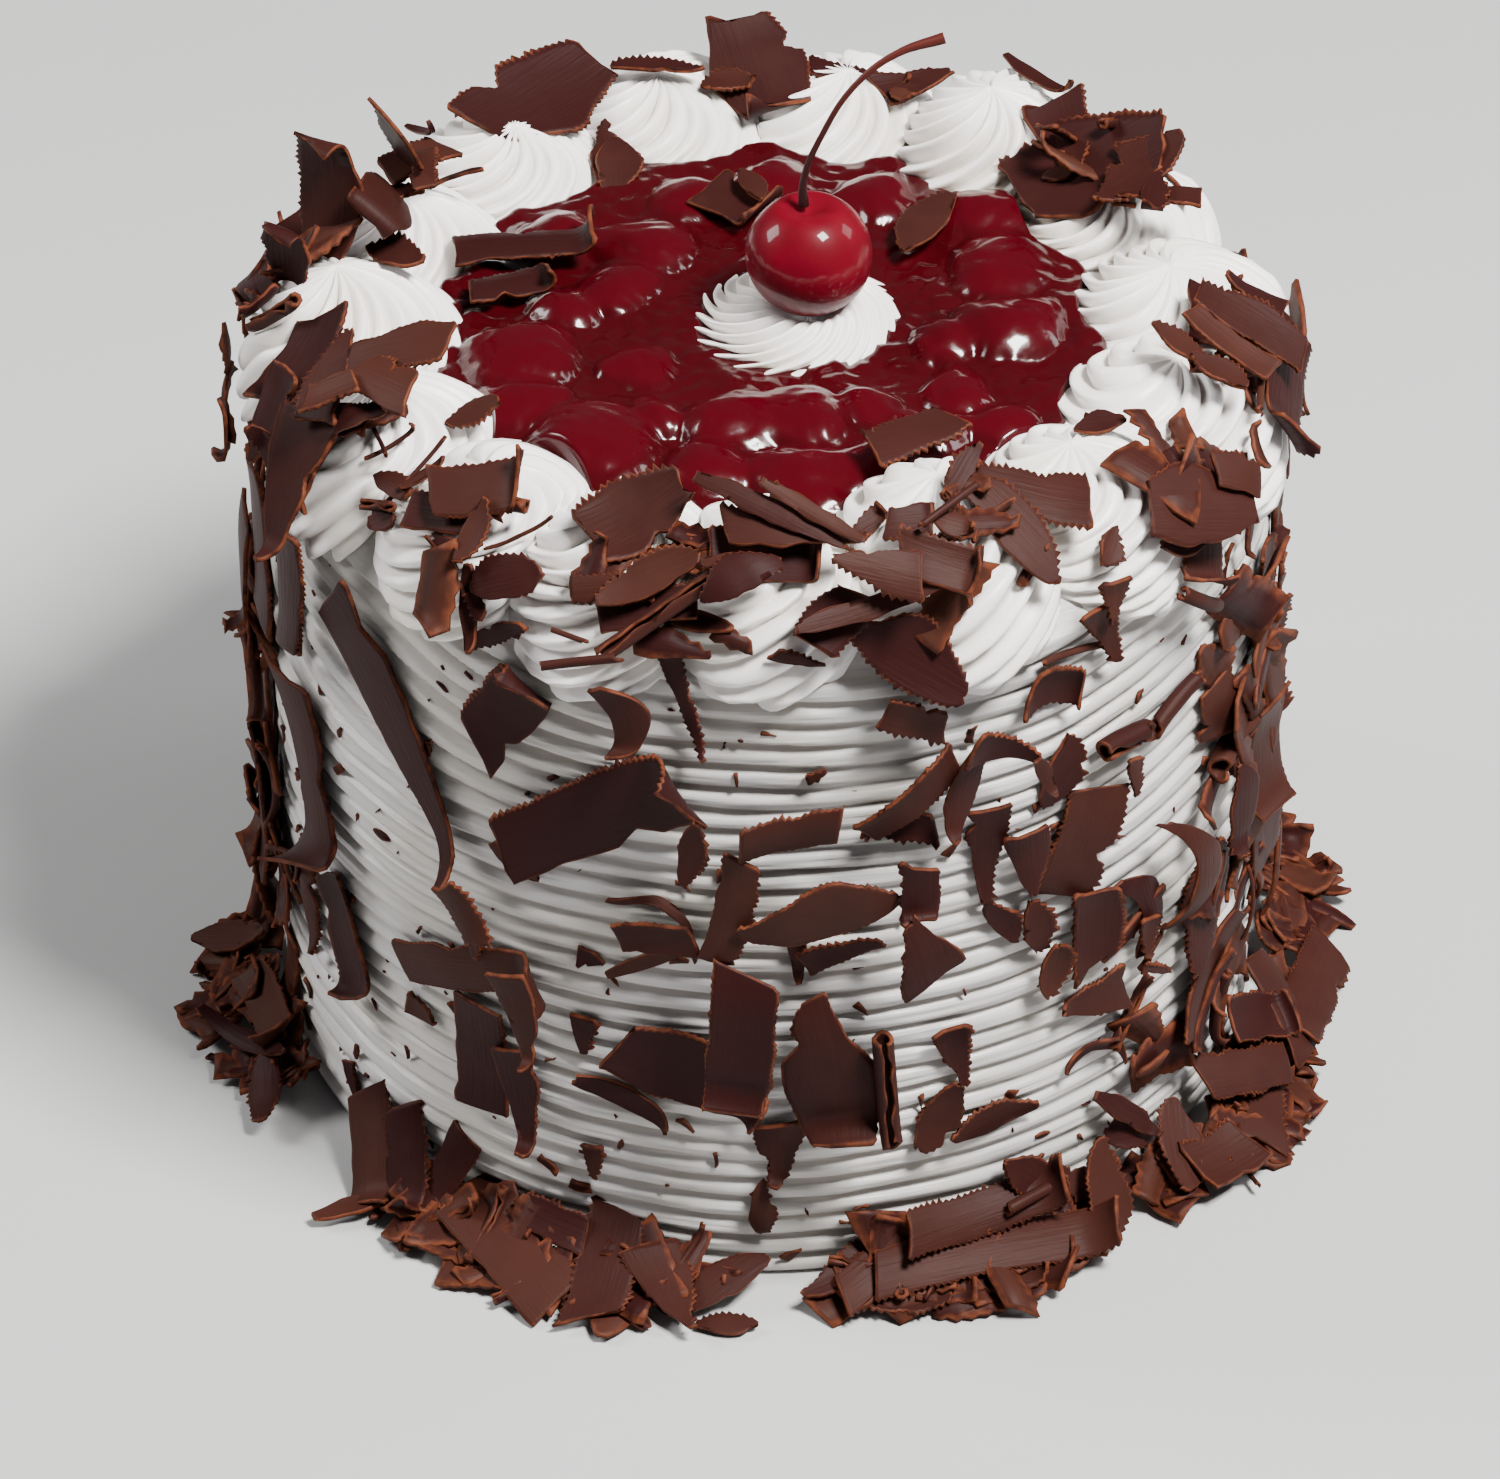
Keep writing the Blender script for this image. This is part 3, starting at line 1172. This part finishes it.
def stem_object(name):
    """The stem as a curve that thins in the middle and ends in a knob."""
    curve = bpy.data.curves.new(name, "CURVE")
    curve.dimensions = "3D"
    curve.bevel_depth = 0.65 * MM
    curve.bevel_resolution = 4
    curve.resolution_u = 10
    curve.use_fill_caps = True
    spline = curve.splines.new("BEZIER")
    spline.bezier_points.add(len(STEM_POINTS) - 1)
    for point, (place, thick) in zip(spline.bezier_points, STEM_POINTS):
        point.co = CHERRY_CENTRE + Vector(place) * MM
        point.handle_left_type = point.handle_right_type = "AUTO"
        point.radius = thick
    stem = bpy.data.objects.new(name, curve)
    bpy.context.scene.collection.objects.link(stem)
    return stem


# Chocolate shavings


class Outline(NamedTuple):
    """What makes the outline of one shaving differ from that of the next."""

    form: str
    shift: float
    bite_place: float
    bite_side: float
    bite_depth: float


def half_width(outline, share, side):
    """Half of the width at this share of the length on this side, where 1 is the full half width."""
    form, shift = outline.form, outline.shift
    wave = 0.16 * noise_at(share * 2.6, shift * 9, side * 2)
    if form in ("splinter", "hook"):
        return max(0.12, math.sin(math.pi * between(share, 0.08, 0.97)) ** 0.6)
    if form == "blade":
        half = 1 - 0.88 * share**1.6
    elif form == "leaf":
        fullest = share ** between(shift, 0.7, 1.4) if side > 0 else share ** between(shift, 1.3, 0.8)
        half = max(0.06, math.sin(math.pi * between(fullest, 0.02, 0.98)) ** 0.8)
        half *= 1.15 if side > 0 else 0.75
    elif form == "plate":
        half = 1.05 - 1.1 * abs(share - between(shift, 0.3, 0.6)) ** 1.3 + wave
    else:
        half = 0.95 - 0.3 * max(0.0, share - 0.75)
    bite = max(0.0, 1 - abs(share - outline.bite_place) / 0.11)
    if side * outline.bite_side > 0:
        half -= outline.bite_depth * bite * half
    return half + wave


def bend_strip(x, z, start, rate):
    """A place along a strip that is flat to the start and follows an arc beyond it."""
    side = math.copysign(1, x)
    beyond = abs(x) - start
    if beyond <= 0 or abs(rate) < 1e-6:
        return x, z
    radius = 1 / rate
    angle = beyond * rate
    return side * (start + (radius - z) * math.sin(angle)), radius - (radius - z) * math.cos(angle)


def shaving_bmesh(shaving, settings, draw, detail):
    """A thin ragged curled plate in its own frame, with its rim, grain and tone recorded."""
    length, width = shaving.length * MM, shaving.width * MM
    columns = max(3 if detail == CHIP else 5, round(length / settings.tooth_pitch * detail))
    rows = (2, 2, 5)[detail]
    if shaving.form == "roll":
        rows = (2, 6, 14)[detail]
    bm = bmesh.new()
    rim = bm.verts.layers.float.new("rim")
    tone = bm.verts.layers.float.new("tone")
    grain = bm.verts.layers.float_vector.new("grain")
    bmesh.ops.create_grid(bm, x_segments=columns, y_segments=rows, size=0.5)
    this_tone = draw.random() if shaving.tone < 0 else shaving.tone
    offset = draw.uniform(0, 5)
    skew = draw.uniform(-0.45, 0.45)
    ends_slant = draw.uniform(-0.5, 0.5)
    outline = Outline(
        form=shaving.form,
        shift=draw.random(),
        bite_place=draw.uniform(0.12, 0.88),
        bite_side=draw.choice((1, -1)),
        bite_depth=draw.uniform(0.0, 0.5),
    )
    toothed = (draw.uniform(0.0, 1.1), draw.uniform(-0.6, 0.8))
    if shaving.form in ("roll", "splinter", "hook"):
        toothed = (-1, -1)
    bow = draw.uniform(-0.08, 0.12) * length
    if shaving.form == "hook":
        bow = 1.3 * length
    if shaving.form == "splinter":
        ends_slant = skew = 0
    for vertex in bm.verts:
        share, across = vertex.co.x + 0.5, vertex.co.y * 2
        column = round(share * columns)
        if shaving.form != "roll":
            across = math.copysign(1 - (1 - abs(across)) ** 2.4, across)
        at_side = abs(across) > 0.999
        at_end = column in (0, columns)
        half = width / 2 * half_width(outline, share, across)
        if at_side:
            rough = toothed[0 if across > 0 else 1]
            rough += 0.6 * noise_at(share * 5, offset, across * 3)
            if detail != CHIP and rough > 0:
                tooth = 0.2 + 0.6 * abs(noise_at(column * 3.7, offset, across)) * 2
                half += settings.tooth_pitch * (tooth if column % 2 else -0.1) * min(1.0, 1.6 * rough)
            half += 0.45 * MM * noise_at(share * length / (4 * MM), offset + 3, across)
        x = (share - 0.5) * length + across * half * between(share, skew, ends_slant)
        if at_end:
            x += math.copysign(0.12 * width, share - 0.5) * noise_at(across * 2.2, offset, 1)
        y = across * half + bow * (0.17 - (share - 0.5) ** 2)
        vertex[rim] = 1.0 if at_side or at_end else 0.0
        vertex[tone] = this_tone
        vertex[grain] = (x + offset, y + offset, offset)
        vertex.co = Vector((x, y, 0))
    thickness = settings.thickness * (0.8 if detail == CHIP else 1.0)
    bmesh.ops.solidify(bm, geom=list(bm.faces), thickness=thickness)
    curl_strip(bm, shaving, shaving.curl * settings.curling, length, width, draw)
    bmesh.ops.recalc_face_normals(bm, faces=bm.faces)
    return bm


def curl_strip(bm, shaving, curl_angle, length, width, draw):
    """Bends the plate over its length, rolls it over its width and twists it a little."""
    curl = math.radians(curl_angle) * draw.choice((1, 1, -1))
    start = draw.uniform(0.0, 0.25) * length
    cup = math.radians(draw.uniform(10, 45))
    if shaving.form == "roll":
        cup = math.radians(340)
    cup *= draw.choice((1, -1))
    twist = math.radians(draw.uniform(-14, 14))
    lip = math.radians(draw.uniform(30, 110)) * draw.choice((0, 0, 1))
    lip_start = 0.3 * length
    for vertex in bm.verts:
        x, y, z = vertex.co
        y, z = bend_strip(y, z, 0.0, cup / width)
        if lip and x > lip_start:
            rate = lip / (0.2 * length)
            angle = (x - lip_start) * rate
            x = lip_start + math.sin(angle) / rate - z * math.sin(angle)
            z = (1 - math.cos(angle)) / rate + z * math.cos(angle)
        x, z = bend_strip(x, z, start, curl / length)
        vertex.co = Matrix.Rotation(twist * x / length, 3, "X") @ Vector((x, y, z))


def shaving_frame(shaving):
    """Axes of a shaving: its length, its width and its face, as columns."""
    angle = math.radians(shaving.azimuth)
    outward = Vector((math.cos(angle), math.sin(angle), 0))
    tangent = Vector((-math.sin(angle), math.cos(angle), 0))
    face = math.radians(shaving.face)
    width_way = Vector((0, 0, math.cos(face))) - outward * math.sin(face)
    face_way = outward * math.cos(face) + Vector((0, 0, math.sin(face)))
    base = Matrix((tangent, width_way, face_way)).transposed()
    turned = Matrix.Rotation(math.radians(shaving.turn), 3, "Z")
    leaned = Matrix.Rotation(math.radians(shaving.lean), 3, "X")
    pitched = Matrix.Rotation(math.radians(-shaving.pitch), 3, "Y")
    return base @ turned @ leaned @ pitched


def place_shaving(bm, shaving):
    """Turns the shaving into its place, and returns the way that its face looks."""
    axes = shaving_frame(shaving)
    centre = polar(shaving.azimuth, shaving.reach * MM, shaving.height * MM)
    for vertex in bm.verts:
        vertex.co = centre + axes @ vertex.co
    return axes @ Vector((0, 0, 1))


class Bed:
    """What shavings come to rest on: the cream below, and the shavings that lie there already."""

    def __init__(self, *names):
        self.ground = surface_tree(*names)
        self.resting = []

    def clearance(self, place, way, trees, above=14 * MM):
        """How far the place is above what is under it, or None where nothing is near."""
        nearest = None
        for tree in trees:
            hit = tree.ray_cast(place + way * above, -way, above * 3)
            if hit[0] is not None and (nearest is None or hit[3] < nearest):
                nearest = hit[3]
        return None if nearest is None else nearest - above

    def seat(self, bm, way, sunk, stack=True):
        """Moves the shaving along the way until it is sunk this far into what is below."""
        middle = sum((vertex.co for vertex in bm.verts), Vector()) / len(bm.verts)
        radius = max((vertex.co - middle).length for vertex in bm.verts)
        trees = [self.ground]
        if stack:
            for place, size, tree in self.resting:
                if (place - middle).length < size + radius:
                    trees.append(tree)
        clear = [self.clearance(vertex.co, way, trees) for vertex in bm.verts]
        clear = [value for value in clear if value is not None]
        if clear:
            drop = min(clear) + sunk
            for vertex in bm.verts:
                vertex.co -= way * drop
            middle -= way * drop
        if stack:
            self.resting.append((middle, radius, BVHTree.FromBMesh(bm)))


def random_shaving(draw, azimuth, height, size=1.0, face=0.0, reach=92.0, turn=None):
    """A shaving of a common form and size, lying as it fell."""
    form = draw.choice(("slab", "blade", "leaf", "slab", "blade", "roll", "splinter"))
    length = draw.uniform(9, 21) * size
    width = length * draw.uniform(0.3, 0.62)
    if form in ("roll", "splinter"):
        width = length * draw.uniform(0.14, 0.28)
    if turn is None:
        turn = draw.uniform(-90, 90)
    curl, lean, pitch = draw.uniform(10, 60), draw.uniform(-16, 16), draw.uniform(-9, 9)
    return Shaving(azimuth, height, length, width, turn, form, curl, lean, pitch, face, reach)


def laid_shavings(shavings, settings, draw, bed, fixed_way=True, detail=PLACED):
    """All of the shavings in one bmesh, each seated on the bed, and if placed on those before it."""
    whole = bmesh.new()
    for shaving in shavings:
        bm = shaving_bmesh(shaving, settings, draw, detail)
        face_way = place_shaving(bm, shaving)
        way = polar(shaving.azimuth, 1) if fixed_way else face_way
        sunk = 1.6 * MM if shaving.face > 99 else -0.2 * MM
        if abs(shaving.lean) > 45:
            way, sunk = Vector((0, 0, 1)), 3.5 * MM
        if detail == STREWN:
            sunk = draw.uniform(-2.5, 0.8) * MM
        elif detail == CHIP:
            sunk = 0.3 * MM
        bed.seat(bm, way, sunk, stack=detail == PLACED)
        keep_in_box(bm)
        add_to(whole, bm)
    return whole


def keep_in_box(bm):
    """Moves a shaving back over the floor and inside the solids' box."""
    shift = Vector()
    for axis in range(3):
        low = min(vertex.co[axis] for vertex in bm.verts) - SOLIDS_BOX[0][axis]
        high = SOLIDS_BOX[1][axis] - max(vertex.co[axis] for vertex in bm.verts)
        shift[axis] = max(0.0, -low) - max(0.0, -high)
    if shift.length:
        for vertex in bm.verts:
            vertex.co += shift


def stand_on_floor(bm, shaving):
    """Keeps a shaving above the floor, outside the cream and inside the heaps' outer radius."""
    lowest = min(vertex.co.z for vertex in bm.verts)
    nearest = min(vertex.co.xy.length for vertex in bm.verts)
    farthest = max(vertex.co.xy.length for vertex in bm.verts)
    outward = polar(shaving.azimuth, 1)
    shift = Vector((0, 0, max(0.0, 0.1 * MM - lowest)))
    if farthest > HEAPS_OUTER_RADIUS:
        shift -= outward * (farthest - HEAPS_OUTER_RADIUS)
    if nearest < HEAPS_INNER_RADIUS:
        shift += outward * (HEAPS_INNER_RADIUS - nearest)
    for vertex in bm.verts:
        vertex.co += shift


# Stage


def add_floor(settings):
    """A pale floor, far wider than the view."""
    bm = bmesh.new()
    bmesh.ops.create_grid(bm, x_segments=1, y_segments=1, size=3.0)
    mesh = bpy.data.meshes.new("floor")
    bm.to_mesh(mesh)
    bm.free()
    mesh.materials.append(floor_material(settings, "pale floor"))
    floor = bpy.data.objects.new("floor", mesh)
    bpy.context.scene.collection.objects.link(floor)


def add_camera(settings):
    """A long lens that looks down on the front of the cake."""
    camera = bpy.data.objects.new("camera", bpy.data.cameras.new("camera"))
    camera.data.lens = settings.lens
    camera.data.sensor_width = 36
    back = Vector((0, -math.cos(settings.elevation), math.sin(settings.elevation)))
    camera.location = Vector((settings.aim_side, 0, settings.aim_height)) + back * settings.distance
    camera.rotation_euler = (math.pi / 2 - settings.elevation, 0, 0)
    bpy.context.scene.collection.objects.link(camera)
    bpy.context.scene.camera = camera


def add_light(name, size, power, place, colour):
    """A square soft light that faces the middle of the cake."""
    light = bpy.data.objects.new(name, bpy.data.lights.new(name, "AREA"))
    light.data.size = size
    light.data.energy = power
    light.data.color = colour
    light.location = place
    aim = LIT_POINT - light.location
    light.rotation_euler = aim.to_track_quat("-Z", "Y").to_euler()
    bpy.context.scene.collection.objects.link(light)


# Operators


class CAKE_OT_combed_cream(bpy.types.Operator):
    """Build the cream round the cake, combed into level ridges"""

    bl_idname = "cake.combed_cream"
    bl_label = "Combed cream"

    def execute(self, context):
        settings = context.scene.cake_cream
        material = cream_material(settings, "combed cream", streaks="wrapped", dull=0.58)
        finish_piece("combed_cream", combed_cream(settings), material, "cream", "iced_cake")
        return {"FINISHED"}


class CAKE_OT_piped_border(bpy.types.Operator):
    """Build the ring of piped rosettes"""

    bl_idname = "cake.piped_border"
    bl_label = "Piped border"

    def execute(self, context):
        settings = context.scene.cake_cream
        material = cream_material(settings, "piped cream")
        solids = nodes_named("rosette_")
        finish_piece("piped_border", border_bmesh(settings), material, "cream", *solids)
        return {"FINISHED"}


class CAKE_OT_centre_rosette(bpy.types.Operator):
    """Build the rosette in the middle, which carries the cherry"""

    bl_idname = "cake.centre_rosette"
    bl_label = "Centre rosette"

    def execute(self, context):
        settings = context.scene.cake_cream
        material = bpy.data.materials["piped cream"]
        bm = centre_rosette_bmesh(settings)
        finish_piece("swirl_under_cherry", bm, material, "cream", "centre_rosette")
        return {"FINISHED"}


class CAKE_OT_cherry_filling(bpy.types.Operator):
    """Build the pool of gel with the cherries in it"""

    bl_idname = "cake.cherry_filling"
    bl_label = "Cherry filling"

    def execute(self, context):
        settings = context.scene.cake_cherries
        material = filling_material(settings, "cherry filling")
        finish_piece("set_filling", filling_bmesh(settings), material, "cherry_gel", "cherry_filling")
        return {"FINISHED"}


class CAKE_OT_crowning_cherry(bpy.types.Operator):
    """Build the cherry on top and its stem"""

    bl_idname = "cake.crowning_cherry"
    bl_label = "Crowning cherry"

    def execute(self, context):
        settings = context.scene.cake_cherries
        material = cherry_material(settings, "cherry skin")
        finish_piece("candied_cherry", cherry_bmesh(settings), material, "cherry_skin", "cherry")
        stem = stem_object("bent_stem")
        stem.data.materials.append(stem_material("cherry stem"))
        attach(stem, "root")
        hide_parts("cherry_stem")
        return {"FINISHED"}


class CAKE_OT_side_shavings(bpy.types.Operator):
    """Press shavings into the cream of the side"""

    bl_idname = "cake.side_shavings"
    bl_label = "Shavings on the side"

    def execute(self, context):
        settings = context.scene.cake_chocolate
        draw = random.Random(SIDE_SEED)
        bed = Bed("combed_cream", "piped_border")
        whole = laid_shavings(SIDE_SHAVINGS, settings, draw, bed)
        shavings = []
        for low, high, bottom, top, count, size, swing in THICK_BANDS:
            for _ in range(count):
                turn = -85 + draw.uniform(-swing, swing)
                azimuth, height = draw.uniform(low, high), draw.uniform(bottom, top)
                shavings.append(random_shaving(draw, azimuth, height, size, turn=turn))
        add_to(whole, laid_shavings(shavings, settings, draw, bed, detail=STREWN))
        material = chocolate_material(settings, "shaved chocolate")
        finish_piece("shavings_on_side", whole, material, "chocolate", *nodes_named("side_shaving"))
        return {"FINISHED"}


class CAKE_OT_rim_shavings(bpy.types.Operator):
    """Lay shavings on the rosettes and in the filling"""

    bl_idname = "cake.rim_shavings"
    bl_label = "Shavings on the border"

    def execute(self, context):
        settings = context.scene.cake_chocolate
        bed = Bed("piped_border", "combed_cream", "set_filling")
        draw = random.Random(RIM_SEED)
        loose = []
        for low, high, near, far, count, size in RIM_BANDS:
            for _ in range(count):
                out = draw.random() ** 0.8
                azimuth, reach = draw.uniform(low, high), between(out, near, far)
                face = between(out, 75, 25) + draw.uniform(-14, 14)
                loose.append(random_shaving(draw, azimuth, between(out**2, 156, 139), size, face, reach))
        whole = laid_shavings((*RIM_SHAVINGS, *POOL_SHAVINGS), settings, draw, bed, fixed_way=False)
        add_to(whole, laid_shavings(loose, settings, draw, bed, fixed_way=False, detail=STREWN))
        material = bpy.data.materials["shaved chocolate"]
        finish_piece("shavings_on_border", whole, material, "chocolate", *nodes_named("rim_shavings"))
        return {"FINISHED"}


class CAKE_OT_foot_shavings(bpy.types.Operator):
    """Heap shavings round the foot of the cake"""

    bl_idname = "cake.foot_shavings"
    bl_label = "Shavings round the foot"

    def execute(self, context):
        settings = context.scene.cake_chocolate
        draw = random.Random(FOOT_SEED)
        shavings = []
        for azimuth, half_span, outer in FOOT_HEAPS:
            for _ in range(int(half_span * HEAPED_PER_DEGREE)):
                out = draw.random() ** 0.8
                along = draw.uniform(-1, 1)
                reach = between(out, 94, between(along * along, outer - 3, 98))
                height = between(out, 9, 2)
                face = between(out, 45, 82) + draw.uniform(-12, 12)
                middle = azimuth + along * half_span
                shavings.append(random_shaving(draw, middle, height, 0.85, face, reach))
        whole = bmesh.new()
        for shaving in (*shavings, *FOOT_SHAVINGS):
            bm = shaving_bmesh(shaving, settings, draw, PLACED if shaving in FOOT_SHAVINGS else STREWN)
            place_shaving(bm, shaving)
            stand_on_floor(bm, shaving)
            add_to(whole, bm)
        material = bpy.data.materials["shaved chocolate"]
        finish_piece("shavings_round_foot", whole, material, "chocolate", *nodes_named("foot_shavings"))
        return {"FINISHED"}


class CAKE_OT_crumbs(bpy.types.Operator):
    """Scatter chips and crumbs of chocolate over the cream"""

    bl_idname = "cake.crumbs"
    bl_label = "Chips and crumbs"

    def execute(self, context):
        settings = context.scene.cake_chocolate
        draw = random.Random(CHIP_SEED)
        chips = []
        for _ in range(CHIP_COUNT):
            length = 0.6 + 4.0 * draw.random() ** 3
            azimuth, height = draw.uniform(0, 360), 4 + 124 * draw.random() ** 1.3
            form = draw.choice(("slab", "blade", "splinter"))
            width = length * draw.uniform(0.2, 0.6)
            turn, lean = draw.uniform(-90, 90), draw.uniform(-25, 25)
            chips.append(Shaving(azimuth, height, length, width, turn, form, draw.uniform(0, 50), lean))
        whole = laid_shavings(chips, settings, draw, Bed("combed_cream"), detail=CHIP)
        material = bpy.data.materials["shaved chocolate"]
        finish_piece("chips_and_crumbs", whole, material, "chocolate")
        return {"FINISHED"}


class CAKE_OT_stage(bpy.types.Operator):
    """Set up the floor, the lights and the camera"""

    bl_idname = "cake.stage"
    bl_label = "Stage"

    def execute(self, context):
        settings = context.scene.cake_stage
        add_floor(settings)
        add_camera(settings)
        for name, light in LIGHTS.items():
            add_light(name, *light)
        world = bpy.data.worlds.new("pale room")
        world.use_nodes = True
        set_node(world.node_tree.nodes["Background"], Color=(0.93, 0.95, 1.0, 1), Strength=0.10)
        context.scene.world = world
        return {"FINISHED"}


OPERATORS = (
    CAKE_OT_stage,
    CAKE_OT_combed_cream,
    CAKE_OT_piped_border,
    CAKE_OT_centre_rosette,
    CAKE_OT_cherry_filling,
    CAKE_OT_crowning_cherry,
    CAKE_OT_side_shavings,
    CAKE_OT_rim_shavings,
    CAKE_OT_foot_shavings,
    CAKE_OT_crumbs,
)
SETTINGS = {
    "cake_cream": CreamSettings,
    "cake_cherries": CherrySettings,
    "cake_chocolate": ChocolateSettings,
    "cake_stage": StageSettings,
}


class CAKE_PT_panel(bpy.types.Panel):
    """Lists the cake's pieces and their settings"""

    bl_idname = "CAKE_PT_panel"
    bl_label = "Black forest cake"
    bl_space_type = "VIEW_3D"
    bl_region_type = "UI"
    bl_category = "Cake"

    def draw(self, context):
        for operator in OPERATORS:
            self.layout.operator(operator.bl_idname)
        for name in SETTINGS:
            group = getattr(context.scene, name)
            box = self.layout.box()
            for setting in group.bl_rna.properties.keys():
                if setting not in ("rna_type", "name"):
                    box.prop(group, setting)


def register():
    for name, group in SETTINGS.items():
        bpy.utils.register_class(group)
        setattr(bpy.types.Scene, name, PointerProperty(type=group))
    for operator in OPERATORS:
        bpy.utils.register_class(operator)
    bpy.utils.register_class(CAKE_PT_panel)


def unregister():
    bpy.utils.unregister_class(CAKE_PT_panel)
    for operator in reversed(OPERATORS):
        bpy.utils.unregister_class(operator)
    for name, group in reversed(SETTINGS.items()):
        delattr(bpy.types.Scene, name)
        bpy.utils.unregister_class(group)


def main():
    register()
    for operator in OPERATORS:
        family, piece = operator.bl_idname.split(".")
        getattr(getattr(bpy.ops, family), piece)()


if __name__ == "__main__":
    main()
